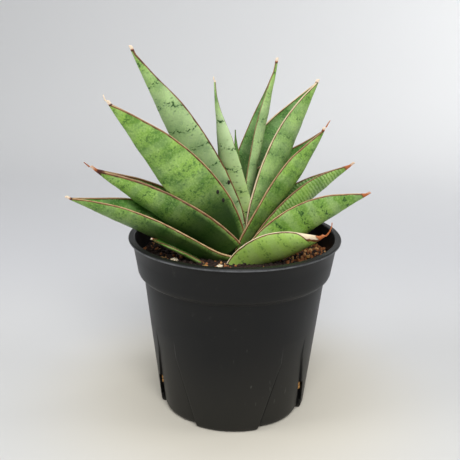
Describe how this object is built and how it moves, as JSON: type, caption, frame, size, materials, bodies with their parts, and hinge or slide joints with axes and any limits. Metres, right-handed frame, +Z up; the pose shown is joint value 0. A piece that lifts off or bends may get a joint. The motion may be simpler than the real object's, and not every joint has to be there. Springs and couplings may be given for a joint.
{
  "type": "potted snake plant",
  "caption": "Dwarf snake plant: stiff channelled pointed leaves in two ranks, growing from soil in a round tapered plastic nursery pot with a collar rim.",
  "frame": {"origin": "centre of the pot's underside, on the surface that it stands on", "axes": "+Z up along the pot's axis; the leaves fan out along X, and -Y is the front"},
  "size_m": [0.1433, 0.105, 0.1792],
  "materials": {
    "pot_plastic": "matt charcoal black moulded polypropylene with faint scuffs",
    "potting_soil": "loose dark brown peat with coarse reddish brown granules",
    "crown": "pale fibrous stem base",
    "leaf": "waxy green skin with darker cross bands, brown margins and dry tips",
    "perlite": "chalky cream perlite",
    "bark": "rough dry bark"
  },
  "bodies": {
    "root": {"pot": "pot_plastic", "soil": "potting_soil", "crown": "crown", "leaf_front_left_low": "leaf", "leaf_right_lowest": "leaf", "leaf_left_lowest": "leaf", "leaf_right_low": "leaf", "leaf_left_low": "leaf", "leaf_right_back": "leaf", "leaf_right_middle": "leaf", "leaf_left_middle": "leaf", "leaf_right_high": "leaf", "leaf_left_high": "leaf", "leaf_right_upright": "leaf", "leaf_centre": "leaf", "leaf_spear": "leaf", "perlite_left": "perlite", "perlite_front": "perlite", "perlite_right": "perlite", "perlite_back": "perlite", "bark_left": "bark", "bark_front": "bark", "bark_right": "bark", "bark_back": "bark"}
  },
  "joints": []
}
